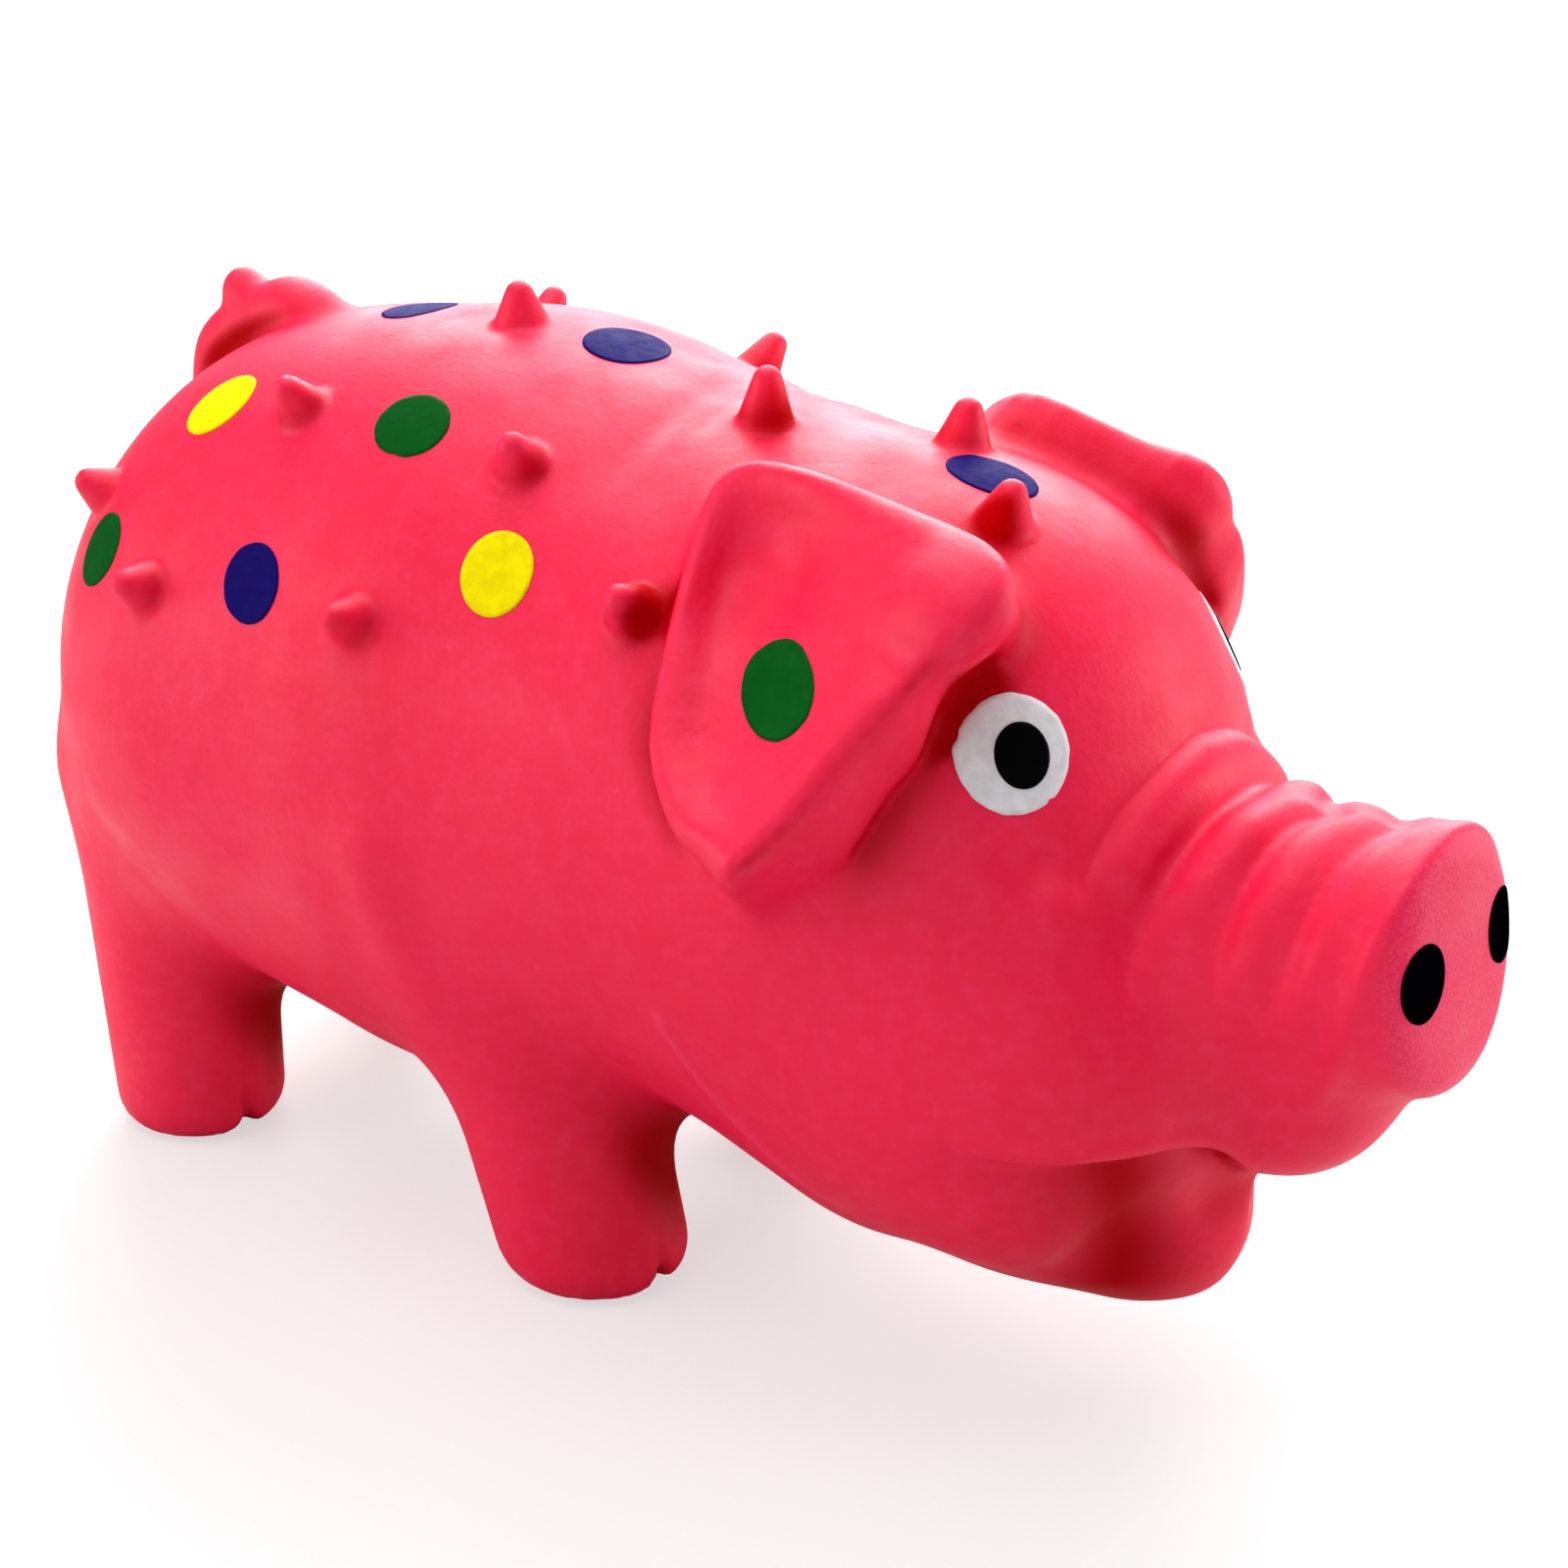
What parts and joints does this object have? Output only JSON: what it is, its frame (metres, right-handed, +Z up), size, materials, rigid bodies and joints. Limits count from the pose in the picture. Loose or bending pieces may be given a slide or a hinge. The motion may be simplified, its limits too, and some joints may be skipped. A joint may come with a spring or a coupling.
{
  "type": "squeaky pig dog toy",
  "caption": "Standing latex pig dog toy with soft horns, drooping dished ears, a wrinkled snout, painted eyes and spots, fibre stuffing and a belly squeaker.",
  "frame": {"origin": "middle of the toy's length and width, on the surface that its soles stand on", "axes": "+X towards the snout, +Y towards the pig's left, +Z up"},
  "size_m": [0.2103, 0.107, 0.1284],
  "materials": {
    "latex": "matt, soft sheen",
    "wadding": "loose fibre",
    "squeaker_plastic": "semi-matt",
    "reed_metal": "satin",
    "white_paint": "semi-gloss paint film",
    "black_paint": "gloss paint film",
    "blue_paint": "semi-gloss paint film",
    "green_paint": "semi-gloss paint film",
    "yellow_paint": "semi-gloss paint film"
  },
  "bodies": {
    "toy": {"latex_skin": "latex", "fibre_stuffing": "wadding", "squeaker_housing": "squeaker_plastic", "squeaker_grille": "squeaker_plastic", "reed_plate": "squeaker_plastic", "retaining_ring": "squeaker_plastic", "reed_clamp": "squeaker_plastic", "eye_white_left": "white_paint", "eye_pupil_left": "black_paint", "nostril_left": "black_paint", "spot_rump_top_left": "yellow_paint", "spot_back_left": "green_paint", "spot_rump_side_left": "green_paint", "spot_flank_left": "blue_paint", "spot_shoulder_left": "yellow_paint", "spot_ear_left": "green_paint", "eye_white_right": "white_paint", "eye_pupil_right": "black_paint", "nostril_right": "black_paint", "spot_rump_top_right": "yellow_paint", "spot_back_right": "green_paint", "spot_rump_side_right": "green_paint", "spot_flank_right": "blue_paint", "spot_shoulder_right": "yellow_paint", "spot_ear_right": "green_paint", "spot_rump": "blue_paint", "spot_spine": "blue_paint", "spot_forehead": "blue_paint"},
    "reed": {"reed_tongue": "reed_metal"}
  },
  "joints": [
    {"name": "reed_flex", "type": "hinge", "parent": "toy", "child": "reed", "pos_m": [-0.04535, 0, 0.02421], "axis": [0, 1, 0], "range_deg": [-6, 6], "stiffness_Nm_per_rad": 0.0002}
  ]
}
